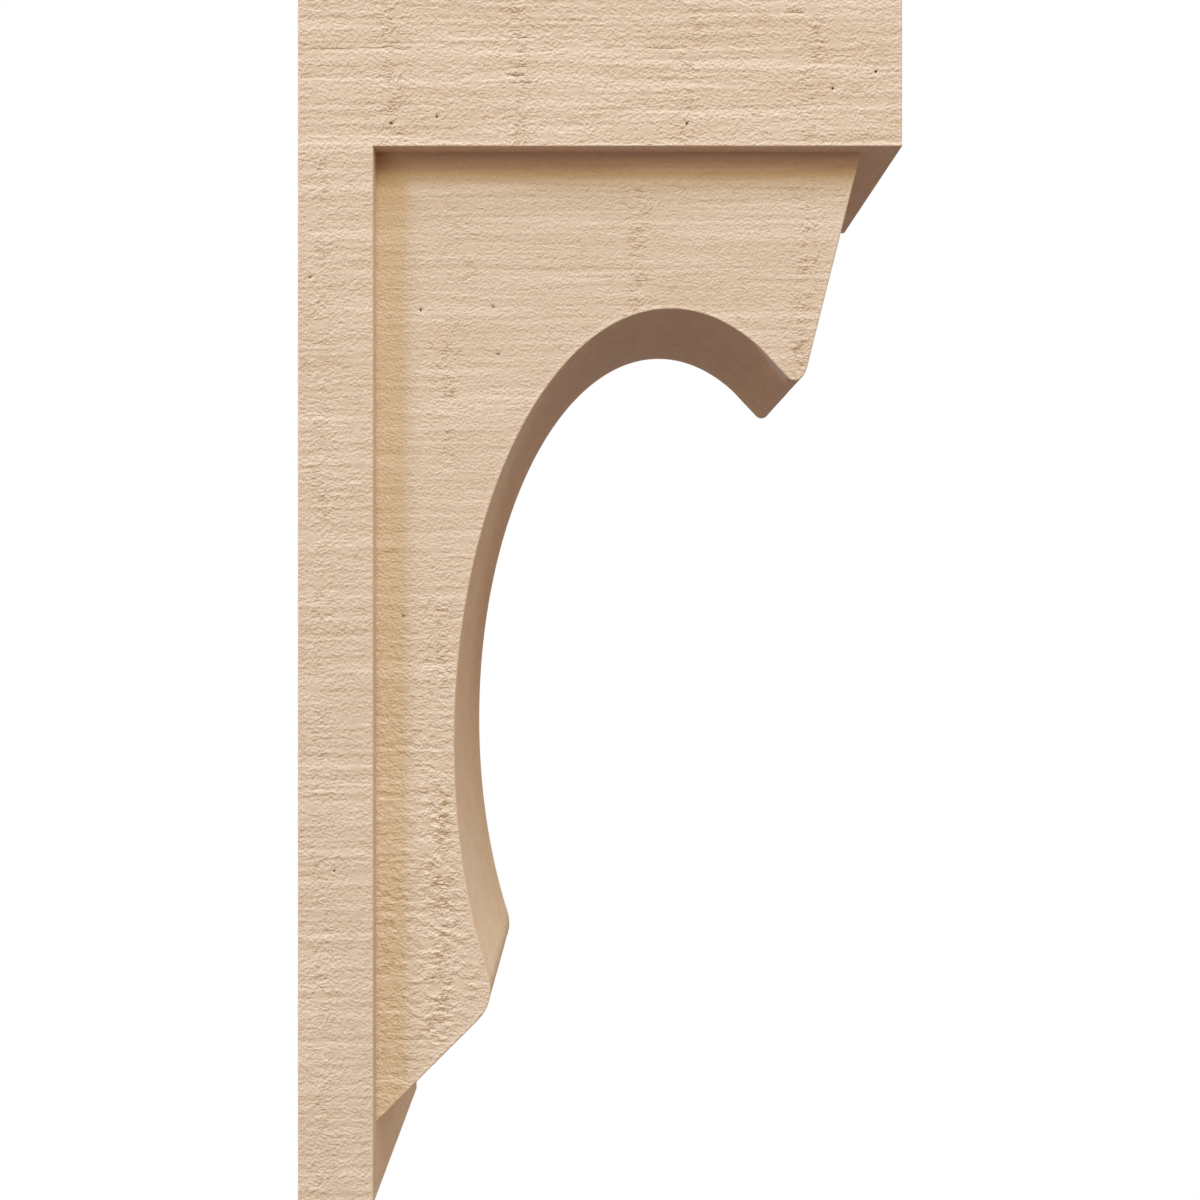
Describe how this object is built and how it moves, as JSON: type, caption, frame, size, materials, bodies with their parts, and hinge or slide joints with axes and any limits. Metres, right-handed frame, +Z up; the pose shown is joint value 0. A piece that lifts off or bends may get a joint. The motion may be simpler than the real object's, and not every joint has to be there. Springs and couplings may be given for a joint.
{
  "type": "polyurethane corbel",
  "caption": "Timber-look corbel: a back plate fixed to a wall, a top plate under a beam or eave, and an arched brace between them.",
  "frame": {"origin": "centre of the rear face, where the corbel meets the wall", "axes": "+X out from the wall, +Y across the corbel, +Z up"},
  "size_m": [0.3048, 0.1396, 0.6096],
  "materials": {
    "primed_foam": "factory-primed tan, matt, with a rough-sawn timber grain moulded in"
  },
  "bodies": {
    "root": {"top_plate": "primed_foam", "back_plate": "primed_foam", "arched_brace": "primed_foam"}
  },
  "joints": []
}
